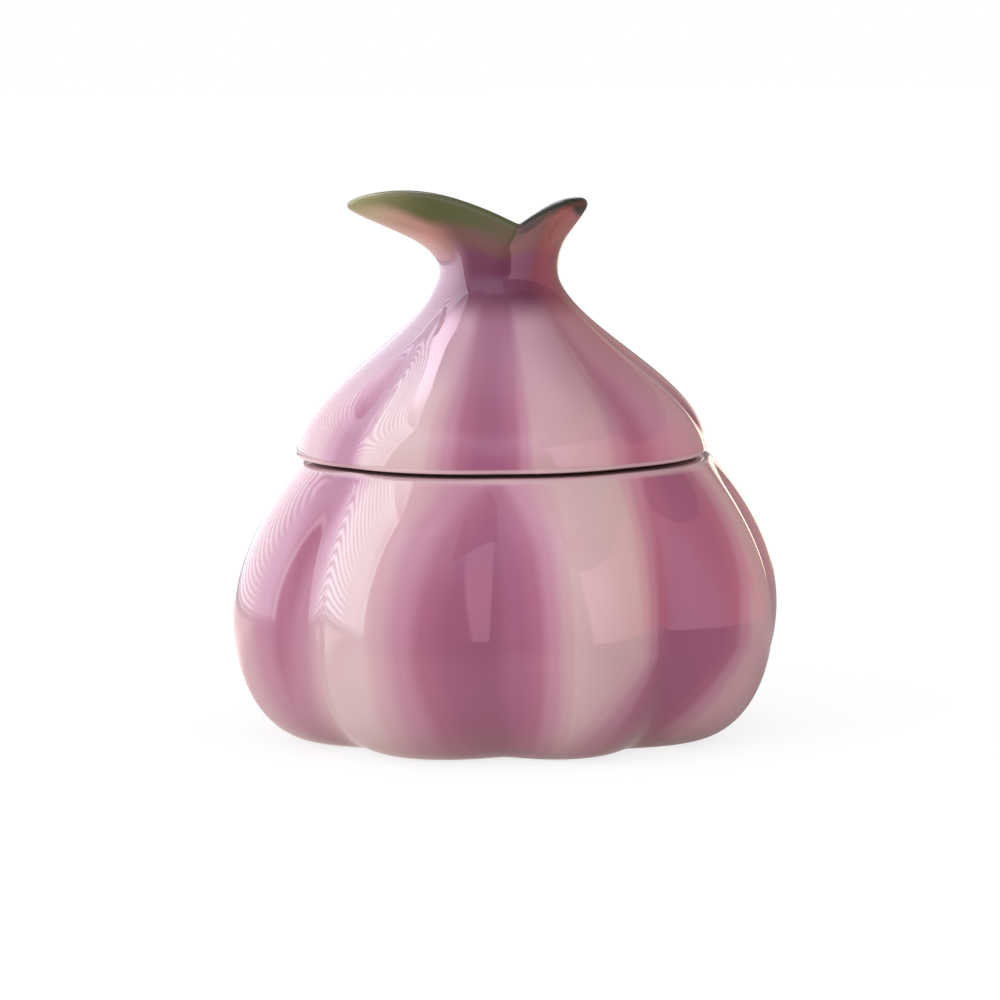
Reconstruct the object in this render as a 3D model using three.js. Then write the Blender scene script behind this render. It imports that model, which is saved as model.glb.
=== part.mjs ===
// A glazed ceramic storage jar in the shape of a garlic bulb: a bowl of eight cloves, and a lid whose stem
// opens into two leaves. Millimetres, +Z up. The origin is the centre of the foot, on the surface that the
// jar stands on. Angles round the jar are counted from the front, which faces -Y, and grow towards +X.
import * as THREE from "three";

// Cloves. Each crease between two of them has its own angle, in degrees, because they are shaped by hand.
const CREASE_ANGLES = [-48, -1, 38, 86, 129, 175, 220, 268];
const FRONT_CREASE = 1;
const CREASE_SOFTNESS_SHARE = 0.12;
const COLUMNS_PER_CLOVE = 8;

// Bowl, outside
const BELLY_RADIUS = 70.7;
const BELLY_HEIGHT = 29.8;
const BELLY_CREASE = 7.6;
const FOOT_RADIUS = 49.6;
const FOOT_CREASE = 6.7;
const FOOT_RING_WIDTH = 5;
const FOOT_RECESS = 2;
const MOUTH_RADIUS = 42;
const SEAT_HEIGHT = 68.8;
const SEAT_WIDTH = 8.3;
const SEAT_ROUND = 3;
const SEAT_CREASE = 0.4;
const SHOULDER_RISE = 15;
const SHOULDER_SLOPE = 12.2;

// Bowl, inside
const BOWL_WALL = 5;
const BASE_WALL = 4;
const MOUTH_ROUND = 1;
const COLLAR_DEPTH = 5;
const COLLAR_REACH = 14;
const INNER_CREASE_SHARE = 0.9;

// Lid, where it seats in the bowl
const SEAT_GAP = 0.3;
const FLANGE_CLEARANCE = 1.2;
const FLANGE_WALL = 4;
const FLANGE_DEPTH = 7;
const FLANGE_ROUND = 1.2;
const BEARING_WIDTH = 5;
const RIM_LIFT = 1;

// Lid, hood
const RIM_OVERHANG = 0.9;
const RIM_ROUND = 1.4;
const RIM_CREASE = 1.2;
const HOOD_RISE = 46.2;
const HOOD_CREASE = 5;
const HOOD_WALL = 4.6;
const HOOD_RIM_RISE = 16.1;
const HOOD_RIM_BULGE = 0.8;
const HOOD_NECK_DROP = 15.2;
const HOOD_NECK_FLARE = 3.9;
const DOME_CROWN = 8;
const DOME_RIM_RISE = 7;
const DOME_RIM_INWARD = 5.5;

// Lid, stem and leaves. Their heights are counted from the neck.
const NECK_RADIUS = 14.4;
const NECK_OFFSET = -0.75;
const CUP_DEPTH = 3;
const CUP_FLOOR_WALL = 4.5;
const CUP_FLOOR_RADIUS = 7;
const LEAF_WALL = 3.2;
const LEAF_HALF_WIDTH = 14;
const LEAF_TAPER_POWER = 1.2;
const LEAF_FULLNESS_POWER = 0.75;
const LIP_ROUND = 0.8;
const LIP_SHARES = [0.3, 0.7, 1];
const NOTCH_RISE = 11.6;
const NOTCH_OFFSET = 3.8;
const LONG_LEAF = { reach: -42.7, tipRise: 17, arch: 2.8, dipPower: 3.5 };
const SHORT_LEAF = { reach: 17.3, tipRise: 17, arch: 1.2, dipPower: 2 };
const STEM_RISE_SHARE = 0.5;
const LEAF_CURL_SHARE = 0.38;

// Rings in each stretch of the outlines
const BELLY_RINGS = 7;
const ROUND_RINGS = 2;
const HOOD_RINGS = 9;
const STEM_RINGS = 6;

const seatRadius = MOUTH_RADIUS + SEAT_WIDTH;
const bowlFloor = FOOT_RECESS + BASE_WALL;
const collarHeight = SEAT_HEIGHT - COLLAR_DEPTH;
const bearingHeight = SEAT_HEIGHT + SEAT_GAP;
const rimRadius = seatRadius + RIM_OVERHANG;
const rimHeight = bearingHeight + RIM_LIFT;
const neckHeight = SEAT_HEIGHT + HOOD_RISE;
const cupFloorHeight = neckHeight - CUP_DEPTH;
const columnCount = CREASE_ANGLES.length * COLUMNS_PER_CLOVE;
const radiansAt = (degrees) => THREE.MathUtils.degToRad(degrees);
const quarterTurn = Math.PI / 2;
const at = (radius, height) => new THREE.Vector2(radius, height);

// How far a place between two creases stands out: 0 in a crease, 1 on the crest of a clove.
function crestAt(share) {
  const round = Math.sin(Math.PI * share);
  const soft = CREASE_SOFTNESS_SHARE;
  return (Math.hypot(round, soft) - soft) / (Math.hypot(1, soft) - soft);
}

// One column of the mesh: its turn between the hand-shaped creases, the even turn that it has on the round
// stem, and how deep in a crease it lies.
function columnAt(index) {
  const clove = Math.floor(index / COLUMNS_PER_CLOVE);
  const share = (index % COLUMNS_PER_CLOVE) / COLUMNS_PER_CLOVE;
  const start = CREASE_ANGLES[clove];
  const end = CREASE_ANGLES[clove + 1] ?? CREASE_ANGLES[0] + 360;
  const clovesPastFront = index / COLUMNS_PER_CLOVE - FRONT_CREASE;
  return {
    handTurn: radiansAt(THREE.MathUtils.lerp(start, end, share)),
    evenTurn: (clovesPastFront / CREASE_ANGLES.length) * 2 * Math.PI,
    creaseShare: 1 - crestAt(share),
  };
}

// A ring of the outline carried round the jar: its point on the crests, how deep its creases are, and how
// far it has gone from the bowl's hand-shaped turns and middle to the stem's even turns and its own middle.
function ring(point, crease = 0, stemShare = 0) {
  return (column) => {
    const turn = THREE.MathUtils.lerp(column.handTurn, column.evenTurn, stemShare);
    const reach = point.x - crease * column.creaseShare;
    const middle = NECK_OFFSET * stemShare;
    return new THREE.Vector3(middle + reach * Math.sin(turn), -reach * Math.cos(turn), point.y);
  };
}

// A closed shape turned from its rings. Each ring is a function that gives its point in a column.
function turned(rings) {
  const profile = rings.map((placeIn) => {
    const point = placeIn(columnAt(0));
    return at(Math.hypot(point.x, point.y), point.z);
  });
  const geometry = new THREE.LatheGeometry(profile, columnCount);
  const position = geometry.getAttribute("position");
  for (let index = 0; index <= columnCount; index += 1) {
    const column = columnAt(index % columnCount);
    rings.forEach((placeIn, row) => {
      const point = placeIn(column);
      position.setXYZ(index * rings.length + row, point.x, point.y, point.z);
    });
  }
  geometry.computeVertexNormals();
  return geometry;
}

// An arc of an ellipse as points, from one angle to another, counted from the outward direction.
function arc(centre, across, up, from, to, steps) {
  return new THREE.EllipseCurve(centre.x, centre.y, across, up, from, to, to < from).getPoints(steps);
}

// A small rounded edge.
function rounding(centre, radius, from, to) {
  return arc(centre, radius, radius, from, to, ROUND_RINGS);
}

function bezier(start, startHandle, endHandle, end, steps) {
  return new THREE.CubicBezierCurve(start, startHandle, endHandle, end).getPoints(steps);
}

// The bowl's creases are deepest at the belly, shallower at the foot, and all but gone at the seat.
function bowlCrease(height) {
  if (height < BELLY_HEIGHT) {
    return THREE.MathUtils.lerp(FOOT_CREASE, BELLY_CREASE, height / BELLY_HEIGHT);
  }
  const drop = (SEAT_HEIGHT - height) / (SEAT_HEIGHT - BELLY_HEIGHT);
  return THREE.MathUtils.lerp(SEAT_CREASE, BELLY_CREASE, Math.sin(drop * quarterTurn));
}

// From the foot out to the belly, over the shoulder and round the edge of the seat.
function bowlOutside() {
  const swell = BELLY_RADIUS - FOOT_RADIUS;
  const foot = arc(at(FOOT_RADIUS, BELLY_HEIGHT), swell, BELLY_HEIGHT, -quarterTurn, 0, BELLY_RINGS);
  const edge = rounding(at(seatRadius, SEAT_HEIGHT - SEAT_ROUND), SEAT_ROUND, quarterTurn / 2, quarterTurn);
  const belly = foot.at(-1);
  const bellyHandle = at(belly.x, belly.y + SHOULDER_RISE);
  const slope = SHOULDER_SLOPE * Math.SQRT1_2;
  const edgeHandle = at(edge[0].x + slope, edge[0].y - slope);
  const shoulder = bezier(belly, bellyHandle, edgeHandle, edge[0], BELLY_RINGS);
  return [...foot, ...shoulder.slice(1), ...edge.slice(1)];
}

// The inner edge of the seat, down to the mouth.
function mouthEdge() {
  const centre = at(MOUTH_RADIUS + MOUTH_ROUND, SEAT_HEIGHT - MOUTH_ROUND);
  return rounding(centre, MOUTH_ROUND, quarterTurn, 2 * quarterTurn);
}

// From the collar under the mouth out to the belly and down to the floor.
function bowlInside() {
  const collar = at(MOUTH_RADIUS, collarHeight);
  const collarHandle = at(collar.x + COLLAR_REACH, collar.y);
  const belly = at(BELLY_RADIUS - BOWL_WALL, BELLY_HEIGHT);
  const bellyHandle = at(belly.x, belly.y + SHOULDER_RISE);
  const shoulder = bezier(collar, collarHandle, bellyHandle, belly, BELLY_RINGS);
  const floorEdge = at(FOOT_RADIUS - BOWL_WALL, bowlFloor);
  const swell = belly.x - floorEdge.x;
  const rise = belly.y - floorEdge.y;
  const base = arc(at(floorEdge.x, belly.y), swell, rise, 0, -quarterTurn, BELLY_RINGS);
  return [...shoulder, ...base.slice(1)];
}

// Inside, the creases follow those outside and run out on the floor and at the collar.
function innerCrease(height) {
  const rise = (height - bowlFloor) / (BELLY_HEIGHT - bowlFloor);
  const drop = (collarHeight - height) / (collarHeight - BELLY_HEIGHT);
  return INNER_CREASE_SHARE * BELLY_CREASE * Math.sin(Math.min(rise, drop, 1) * quarterTurn);
}

function makeBowl() {
  const footRingInner = FOOT_RADIUS - FOOT_CREASE - FOOT_RING_WIDTH;
  return turned([
    ring(at(0, FOOT_RECESS)),
    ring(at(footRingInner, FOOT_RECESS)),
    ring(at(footRingInner, 0)),
    ...bowlOutside().map((point) => ring(point, bowlCrease(point.y))),
    ...mouthEdge().map((point) => ring(point)),
    ...bowlInside().map((point) => ring(point, innerCrease(point.y))),
    ring(at(0, bowlFloor)),
  ]);
}

// The hollow of the hood, from under the cup of the stem out to the pocket behind the rim. Its creases
// follow those outside.
function hoodHollow() {
  const apex = at(0, cupFloorHeight - CUP_FLOOR_WALL);
  const apexHandle = at(DOME_CROWN, apex.y);
  const pocket = at(rimRadius - HOOD_WALL, rimHeight + HOOD_WALL);
  const pocketHandle = at(pocket.x - DOME_RIM_INWARD, pocket.y + DOME_RIM_RISE);
  const dome = bezier(apex, apexHandle, pocketHandle, pocket, HOOD_RINGS);
  return dome.map((point, step) => {
    const share = step / HOOD_RINGS;
    const crease = INNER_CREASE_SHARE * HOOD_CREASE * Math.sin(Math.PI * share) ** 2;
    return ring(point, crease, 1 - share);
  });
}

// The flange that keeps the lid in the mouth, and the bearing round it.
function flange() {
  const outer = MOUTH_RADIUS - FLANGE_CLEARANCE;
  const inner = outer - FLANGE_WALL;
  const foot = SEAT_HEIGHT - FLANGE_DEPTH + FLANGE_ROUND;
  const bearing = at(MOUTH_RADIUS + BEARING_WIDTH, bearingHeight);
  return [
    at(inner, rimHeight + HOOD_WALL),
    ...rounding(at(inner + FLANGE_ROUND, foot), FLANGE_ROUND, 2 * quarterTurn, 3 * quarterTurn),
    ...rounding(at(outer - FLANGE_ROUND, foot), FLANGE_ROUND, -quarterTurn, 0),
    at(outer, bearing.y),
    bearing,
    at(bearing.x + RIM_LIFT, rimHeight),
  ].map((point) => ring(point));
}

// The rounded edge of the rim.
function rim() {
  return rounding(at(rimRadius - RIM_ROUND, rimHeight + RIM_ROUND), RIM_ROUND, -quarterTurn, 0);
}

// The outside of the hood, from the rim to the neck.
function hood() {
  const start = rim().at(-1);
  const startHandle = at(start.x + HOOD_RIM_BULGE, start.y + HOOD_RIM_RISE);
  const neck = at(NECK_RADIUS, neckHeight);
  const neckHandle = at(neck.x + HOOD_NECK_FLARE, neck.y - HOOD_NECK_DROP);
  const outline = bezier(start, startHandle, neckHandle, neck, HOOD_RINGS);
  return outline.map((point, step) => {
    const share = step / HOOD_RINGS;
    return ring(point, RIM_CREASE * (1 - share) + HOOD_CREASE * Math.sin(Math.PI * share), share);
  }).slice(1);
}

// The rim of the two leaves. It is highest along the leaves and lowest in the two notches between them.
function leafRim(turn, wall) {
  const leaf = Math.sin(turn) < 0 ? LONG_LEAF : SHORT_LEAF;
  const notchShare = 1 - Math.acos(Math.abs(Math.cos(turn))) / quarterTurn;
  const reach = leaf.reach - Math.sign(leaf.reach) * wall;
  const halfWidth = LEAF_HALF_WIDTH - wall;
  const dip = (leaf.tipRise - NOTCH_RISE) * notchShare ** leaf.dipPower;
  return new THREE.Vector3(
    NOTCH_OFFSET + reach * (1 - notchShare ** LEAF_TAPER_POWER),
    -Math.sign(Math.cos(turn)) * halfWidth * notchShare ** LEAF_FULLNESS_POWER,
    neckHeight + leaf.tipRise - dip + leaf.arch * Math.sin(Math.PI * notchShare),
  );
}

// The stem in one column, from the neck up to the rim. The inner face lies one wall inside the outer face.
function stemCurve(column, wall) {
  const foot = ring(at(NECK_RADIUS - wall, neckHeight), 0, 1)(column);
  const top = leafRim(column.evenTurn, wall);
  const run = top.clone().sub(foot);
  const lift = (wall * Math.hypot(run.x, run.y)) / run.length();
  const up = new THREE.Vector3(0, 0, 1);
  const lowHandle = foot.clone().addScaledVector(up, run.z * STEM_RISE_SHARE + lift);
  const highHandle = top.clone().addScaledVector(run, -LEAF_CURL_SHARE).addScaledVector(up, lift);
  return new THREE.CubicBezierCurve3(foot, lowHandle, highHandle, top);
}

// The lip rolls over from the outer edge of the leaves to the inner one.
function lip() {
  return LIP_SHARES.map((share) => (column) => {
    const point = leafRim(column.evenTurn, 0).lerp(leafRim(column.evenTurn, LEAF_WALL), share);
    point.z += LIP_ROUND * Math.sin(Math.PI * share);
    return point;
  });
}

function makeLid() {
  const stemShares = Array.from({ length: STEM_RINGS }, (_, step) => (step + 1) / STEM_RINGS);
  return turned([
    ...hoodHollow(),
    ...flange(),
    ...rim().map((point) => ring(point, RIM_CREASE)),
    ...hood(),
    ...stemShares.map((share) => (column) => stemCurve(column, 0).getPoint(share)),
    ...lip(),
    ...stemShares.map((share) => (column) => stemCurve(column, LEAF_WALL).getPoint(1 - share)),
    ring(at(CUP_FLOOR_RADIUS, cupFloorHeight), 0, 1),
    ring(at(0, cupFloorHeight), 0, 1),
  ]);
}

function piece(name, geometry, finish) {
  const mesh = new THREE.Mesh(geometry, new THREE.MeshStandardMaterial(finish));
  mesh.name = name;
  return mesh;
}

const jar = new THREE.Group();
jar.add(
  piece("jar_body", makeBowl(), { color: 0xc2a0ab, roughness: 0.12, metalness: 0 }),
  piece("lid", makeLid(), { color: 0xb98da3, roughness: 0.12, metalness: 0 }),
);

export default jar;
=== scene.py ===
# %% [markdown]
# # A ceramic storage jar in the shape of a garlic bulb
#
# The real jar is two pieces of slip-cast clay: a bowl with eight cloves, and a lid whose stem opens into
# two leaves. Both are sprayed in mauve along the creases, in green along the leaves, and dipped in clear
# glaze. The CAD frame holds their sizes, their fit and the way the lid lifts. It could be shown as it is,
# but its facets would break up the reflections that make glaze look like glaze, so both pieces are modelled
# again as smooth shells on the same sizes.

# %% Load the frame
import math

import bmesh
import bpy
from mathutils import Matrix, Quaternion, Vector
from mathutils.geometry import interpolate_bezier


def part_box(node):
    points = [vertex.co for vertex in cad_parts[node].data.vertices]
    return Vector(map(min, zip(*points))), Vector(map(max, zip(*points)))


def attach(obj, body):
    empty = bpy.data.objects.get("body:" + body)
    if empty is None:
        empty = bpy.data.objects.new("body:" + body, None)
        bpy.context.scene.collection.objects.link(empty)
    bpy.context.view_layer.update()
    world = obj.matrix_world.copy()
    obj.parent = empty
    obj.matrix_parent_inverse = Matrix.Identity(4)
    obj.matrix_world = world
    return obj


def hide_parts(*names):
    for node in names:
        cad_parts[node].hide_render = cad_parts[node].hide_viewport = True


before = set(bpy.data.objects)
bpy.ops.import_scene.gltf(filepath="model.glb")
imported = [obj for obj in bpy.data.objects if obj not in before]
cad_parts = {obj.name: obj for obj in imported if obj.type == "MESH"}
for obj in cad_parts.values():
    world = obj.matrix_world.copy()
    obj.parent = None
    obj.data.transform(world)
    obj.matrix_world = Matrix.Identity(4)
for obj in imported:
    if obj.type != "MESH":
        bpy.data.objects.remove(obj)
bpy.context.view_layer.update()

print("CAD nodes:", sorted(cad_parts))

# %% [markdown]
# ## Camera
#
# A long lens from just above the jar flattens it as the photograph does. The camera's distance sets how
# strong the perspective is, and its lens follows from how wide a field it has to see at that distance. A
# camera could be turned by three angles, but a tracking quaternion points it at a place in one step, and a
# small roll about its own axis is then easy to add.

# %% Set up the camera
CAMERA_DISTANCE = 1.3
CAMERA_ELEVATION = math.radians(6.81)
CAMERA_ROLL = math.radians(-0.64)
CAMERA_TARGET = Vector((-0.0014, 0, 0.0577))
FIELD_WIDTH = 0.25

back = Vector((0, -math.cos(CAMERA_ELEVATION), math.sin(CAMERA_ELEVATION)))
bpy.ops.object.camera_add(location=CAMERA_TARGET + CAMERA_DISTANCE * back)
camera = bpy.context.object
camera.name = "camera"
camera.rotation_mode = "QUATERNION"
camera.rotation_quaternion = (-back).to_track_quat("-Z", "Y") @ Quaternion((0, 0, 1), CAMERA_ROLL)
camera.data.lens = camera.data.sensor_width * CAMERA_DISTANCE / FIELD_WIDTH
bpy.context.scene.camera = camera
print("lens, mm:", round(camera.data.lens, 1))

# %% [markdown]
# ## Cloves and columns
#
# Both pieces are rings of vertices, one above the other, and each vertex of a ring belongs to a column.
# Sixteen columns make a clove. The creases between cloves are shaped by hand on the real jar, so each has
# its own angle, while the stem is thrown round, so its columns are spaced evenly. A column knows both of
# its turns, and how deep in a crease it lies. Sculpting could do the same, but not twice alike.

# %% Describe the columns
CREASE_TURNS = [math.radians(angle) for angle in (-48, -1, 38, 86, 129, 175, 220, 268)]
FRONT_CREASE = 1
CREASE_SOFTNESS_SHARE = 0.12
COLUMNS_PER_CLOVE = 16
CLOVES = len(CREASE_TURNS)
COLUMNS = CLOVES * COLUMNS_PER_CLOVE
QUARTER = math.pi / 2


def lerp(start, end, share):
    return start + (end - start) * share


def clove_place(column):
    """The clove that a column is in, and its share of the way across it."""
    clove, step = divmod(column, COLUMNS_PER_CLOVE)
    return clove, step / COLUMNS_PER_CLOVE


def even_turn(column):
    return (column / COLUMNS_PER_CLOVE - FRONT_CREASE) * 2 * math.pi / CLOVES


def hand_turn(column):
    clove, share = clove_place(column)
    turns = CREASE_TURNS + [CREASE_TURNS[0] + 2 * math.pi]
    return lerp(turns[clove], turns[clove + 1], share)


def crease_share(column):
    """1 in a crease, 0 on the crest of a clove."""
    share = clove_place(column)[1]
    crest = math.hypot(math.sin(math.pi * share), CREASE_SOFTNESS_SHARE) - CREASE_SOFTNESS_SHARE
    return 1 - crest / (math.hypot(1, CREASE_SOFTNESS_SHARE) - CREASE_SOFTNESS_SHARE)


print("columns:", COLUMNS, "levels:", COLUMNS_PER_CLOVE // 2 + 1)

# %% [markdown]
# ## Growing a shell ring by ring
#
# A shell like this could be spun from an outline, but a spin makes it round and the cloves would have to be
# pushed in afterwards. Here the shell grows from a disc instead. Its edge is extruded ring by ring, and
# each ring is shaped while it is still the only thing selected: its vertices are grouped by how deep they
# lie in a crease, and each group is scaled to its own distance from the axis. On the stem no two vertices
# move alike, so there a ring is extruded in the same way and its vertices are then set one by one.

# %% Add a disc, extrude rings, and close the shell
MARKS = ("spray", "keel", "leaf", "inside")
FACTOR_DIGITS = 6


def start_disc(name, radius, middle):
    """Adds the round disc that a shell grows from, marks its columns, and selects its edge."""
    bpy.ops.object.select_all(action="DESELECT")
    bpy.ops.mesh.primitive_circle_add(vertices=COLUMNS, radius=radius, fill_type="TRIFAN", location=middle)
    piece = bpy.context.object
    piece.name = name
    piece.data.name = name
    for mark in MARKS:
        piece.data.attributes.new(mark, "FLOAT", "POINT")
    column_of = piece.data.attributes.new("column", "INT", "POINT")
    for vertex in piece.data.vertices:
        steps = math.atan2(vertex.co.x, -vertex.co.y) * COLUMNS / (2 * math.pi)
        column_of.data[vertex.index].value = round(steps + FRONT_CREASE * COLUMNS_PER_CLOVE) % COLUMNS
    bpy.ops.object.transform_apply(location=True, rotation=False, scale=False)
    bpy.ops.object.mode_set(mode="EDIT")
    bpy.ops.mesh.select_mode(type="VERT")
    bpy.ops.mesh.select_all(action="DESELECT")
    bpy.ops.mesh.select_non_manifold()
    return piece


def selected_ring(piece):
    edit = bmesh.from_edit_mesh(piece.data)
    return edit, [vertex for vertex in edit.verts if vertex.select]


def extrude_ring(piece, height, **marks):
    """Extrudes the selected ring to a new height and writes its marks."""
    edit, ring = selected_ring(piece)
    rise = height - ring[0].co.z
    bpy.ops.mesh.extrude_region_move(TRANSFORM_OT_translate={"value": (0, 0, rise)})
    edit, ring = selected_ring(piece)
    for mark, value in marks.items():
        layer = edit.verts.layers.float[mark]
        for vertex in ring:
            vertex[layer] = value
    return edit, ring


def select_only(piece, indices):
    edit = bmesh.from_edit_mesh(piece.data)
    edit.verts.ensure_lookup_table()
    for vertex in edit.verts:
        vertex.select = False
    for index in indices:
        edit.verts[index].select = True
    edit.select_flush(True)


def scaled_ring(piece, radius, height, crease=0.0, **marks):
    """Extrudes a ring and scales each of its levels from where it is to its own reach."""
    edit, ring = extrude_ring(piece, height, **marks)
    column_of = edit.verts.layers.int["column"]
    levels = {}
    for vertex in ring:
        reach = radius - crease * crease_share(vertex[column_of])
        levels.setdefault(round(reach / vertex.co.xy.length, FACTOR_DIGITS), []).append(vertex.index)
    members = [vertex.index for vertex in ring]
    for factor, indices in levels.items():
        select_only(piece, indices)
        bpy.ops.transform.resize(value=(factor, factor, 1), center_override=(0, 0, height))
    select_only(piece, members)


def scaled_rings(piece, outline):
    for radius, height in outline:
        scaled_ring(piece, radius, height)


def placed_ring(piece, place, *shape, **marks):
    """Extrudes a ring and sets each of its vertices where its column and the ring's shape say."""
    edit, ring = extrude_ring(piece, place(0, *shape).z, **marks)
    column_of = edit.verts.layers.int["column"]
    for vertex in ring:
        vertex.co = place(vertex[column_of], *shape)
    bmesh.update_edit_mesh(piece.data)


def close_shell(piece, spray_at):
    """Draws the last ring together, turns all faces outwards, paints the shell, and smooths it."""
    bpy.ops.mesh.merge(type="CENTER")
    bpy.ops.mesh.select_all(action="SELECT")
    bpy.ops.mesh.normals_make_consistent(inside=False)
    edit = bmesh.from_edit_mesh(piece.data)
    column_of = edit.verts.layers.int["column"]
    for vertex in edit.verts:
        vertex[edit.verts.layers.float["spray"]] = spray_at(vertex[column_of], vertex.co.z)
        vertex[edit.verts.layers.float["keel"]] = abs(math.sin(even_turn(vertex[column_of])))
    bpy.ops.object.mode_set(mode="OBJECT")
    smoother = piece.modifiers.new("smoother", "SUBSURF")
    smoother.levels = 1
    smoother.render_levels = 1
    bpy.ops.object.modifier_apply(modifier=smoother.name)
    bpy.ops.object.shade_smooth()


def turned(column, radius, height, crease=0.0, stem=0.0, shift=0.0):
    """A place on a ring: by hand-shaped turns on the bowl, by even turns on the stem, or between."""
    turn = lerp(hand_turn(column), even_turn(column), stem)
    reach = radius - crease * crease_share(column)
    middle = lerp(shift, NECK_OFFSET, stem)
    return Vector((middle + reach * math.sin(turn), -reach * math.cos(turn), height))


# %% [markdown]
# ## Outlines
#
# An outline is a list of radius and height, as a potter's template is. Its round stretches are arcs, and
# its free stretches are Bezier curves with a handle at each end, because four points then hold a whole
# shoulder.

# %% Arcs and free curves of an outline
ROUND_STEPS = 4


def arc(centre, across, up, start, end, steps=ROUND_STEPS):
    """An arc of an ellipse. Its angles are counted from the outward direction."""
    turns = [lerp(start, end, step / steps) for step in range(steps + 1)]
    return [(centre[0] + across * math.cos(turn), centre[1] + up * math.sin(turn)) for turn in turns]


def free_curve(start, start_handle, end_handle, end, steps):
    knots = [Vector((*point, 0)) for point in (start, start_handle, end_handle, end)]
    return [(point.x, point.y) for point in interpolate_bezier(*knots, steps + 1)]


# %% [markdown]
# ## Where the mauve is sprayed
#
# The colour was sprayed into the creases by hand, so it reaches further out of some creases than of others,
# and further to one side. Each crease has four numbers, picked from the photograph where it shows
# them: how much of the clove before it the spray covers, where it is strongest, how much of the clove after
# it is covered, and how strong it is. Towards the foot and the seat a band may also lean over, spread and
# grow thin. The result is written on the vertices as an attribute, because it follows the cloves and no
# noise or gradient could.

# %% Spray shares of the bowl and the lid
BOWL_SPRAY_SHARES = [
    (0.36, -0.17, 0.26, 0.40), (0.58, -0.04, 0.43, 0.94), (0.42, 0.14, 0.33, 0.87), (0.26, 0.0, 0.36, 0.6),
    (0.42, 0.0, 0.36, 0.8), (0.52, -0.05, 0.44, 1.0), (0.36, 0.0, 0.50, 0.8), (0.46, 0.0, 0.32, 0.75),
]
BOWL_FOOT_LEANS = (0.0, 0.0, -0.36, 0.0, 0.1, 0.0, -0.1, 0.0)
BOWL_SEAT_LEANS = (0.10, 0.0, 0.13, 0.0, 0.0, 0.0, 0.0, 0.0)
BOWL_SEAT_THINS = (-0.60, 0.62, 0.20, 0.35, 0.45, 0.40, 0.45, 0.35)
BOWL_BLUSH_SHARES = (0.0, 0.04, 0.12, 0.06, 0.0, 0.05, 0.02, 0.08)
LID_SPRAY_SHARES = [
    (0.34, 0.0, 0.14, 0.60), (0.42, -0.04, 0.36, 0.76), (0.40, 0.05, 0.60, 0.43), (0.28, 0.0, 0.40, 0.5),
    (0.34, 0.0, 0.36, 0.6), (0.42, 0.0, 0.34, 0.66), (0.34, 0.0, 0.46, 0.55), (0.36, 0.0, 0.30, 0.6),
]
LID_BLUSH_SHARES = (0.02, 0.10, 0.22, 0.12, 0.04, 0.06, 0.04, 0.06)


def sprayed(shares, blushes, column, changes=None):
    """How much spray a column has got. Changes hold each crease's lean and what is left of its strength."""
    clove, share = clove_place(column)
    cover = blushes[clove]
    for crease, place in ((clove, share), ((clove + 1) % CLOVES, share - 1)):
        before, peak, after, strength = shares[crease]
        lean, left = changes[crease] if changes else (0, 1)
        past = place - peak - lean
        reach = (after if past > 0 else before) * (1 + abs(lean))
        cover = max(cover, strength * left * (1 - abs(past) / reach))
    return cover


print("strongest spray on the bowl:", max(band[-1] for band in BOWL_SPRAY_SHARES))

# %% [markdown]
# ## The bowl
#
# The bowl stands on a narrow bare foot ring, swells to its belly, and closes to a flat seat round the
# mouth. It could be a single outside surface, but the lid lifts off and the inside shows, so the shell goes
# on over the seat, down the mouth and round to the floor inside. It starts from the disc under the foot and
# ends in the middle of that floor.

# %% Shape the outlines and creases of the bowl
BELLY_RADIUS = 0.0707
BELLY_HEIGHT = 0.0298
BELLY_CREASE = 0.0076
FOOT_RADIUS = 0.0496
FOOT_CREASE = 0.0067
FOOT_RING_WIDTH = 0.005
FOOT_RECESS = 0.002
FOOT_ROUND = 0.0004
MOUTH_RADIUS = 0.042
SEAT_WIDTH = 0.0083
SEAT_ROUND = 0.003
SEAT_CREASE = 0.0004
SHOULDER_RISE = 0.015
SHOULDER_SLOPE = 0.0122
BOWL_WALL = 0.005
BASE_WALL = 0.004
MOUTH_ROUND = 0.001
COLLAR_DEPTH = 0.005
COLLAR_REACH = 0.014
INNER_CREASE_SHARE = 0.9
BOWL_STEPS = 12
DISC_SHARE = 0.4
POLE_RADIUS = 0.002
SEAT_CREASE_POWERS = (0.36, *[0.62] * (CLOVES - 1))
NECK_OFFSET = -0.0011
RIM_OFFSET = -0.00075

seat_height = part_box("jar_body")[1].z
seat_radius = MOUTH_RADIUS + SEAT_WIDTH
bowl_floor = FOOT_RECESS + BASE_WALL
collar_height = seat_height - COLLAR_DEPTH


def nearest_crease(column):
    clove, across = clove_place(column)
    return (clove + round(across)) % CLOVES


def bowl_crease(height, power):
    """Deepest at the belly, shallower at the foot, and all but gone at the seat."""
    if height < BELLY_HEIGHT:
        return lerp(FOOT_CREASE, BELLY_CREASE, height / BELLY_HEIGHT)
    drop = max(0, (seat_height - height) / (seat_height - BELLY_HEIGHT))
    return lerp(SEAT_CREASE, BELLY_CREASE, math.sin(drop * QUARTER) ** power)


def bowl_place(column, radius, height):
    """A place on the bowl. A low power keeps its crease deep until close under the seat."""
    return turned(column, radius, height, bowl_crease(height, SEAT_CREASE_POWERS[nearest_crease(column)]))


def inner_crease(height):
    """Inside, the creases follow those outside and run out on the floor and at the collar."""
    rise = (height - bowl_floor) / (BELLY_HEIGHT - bowl_floor)
    drop = (collar_height - height) / (collar_height - BELLY_HEIGHT)
    return INNER_CREASE_SHARE * BELLY_CREASE * math.sin(max(0, min(rise, drop, 1)) * QUARTER)


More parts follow.
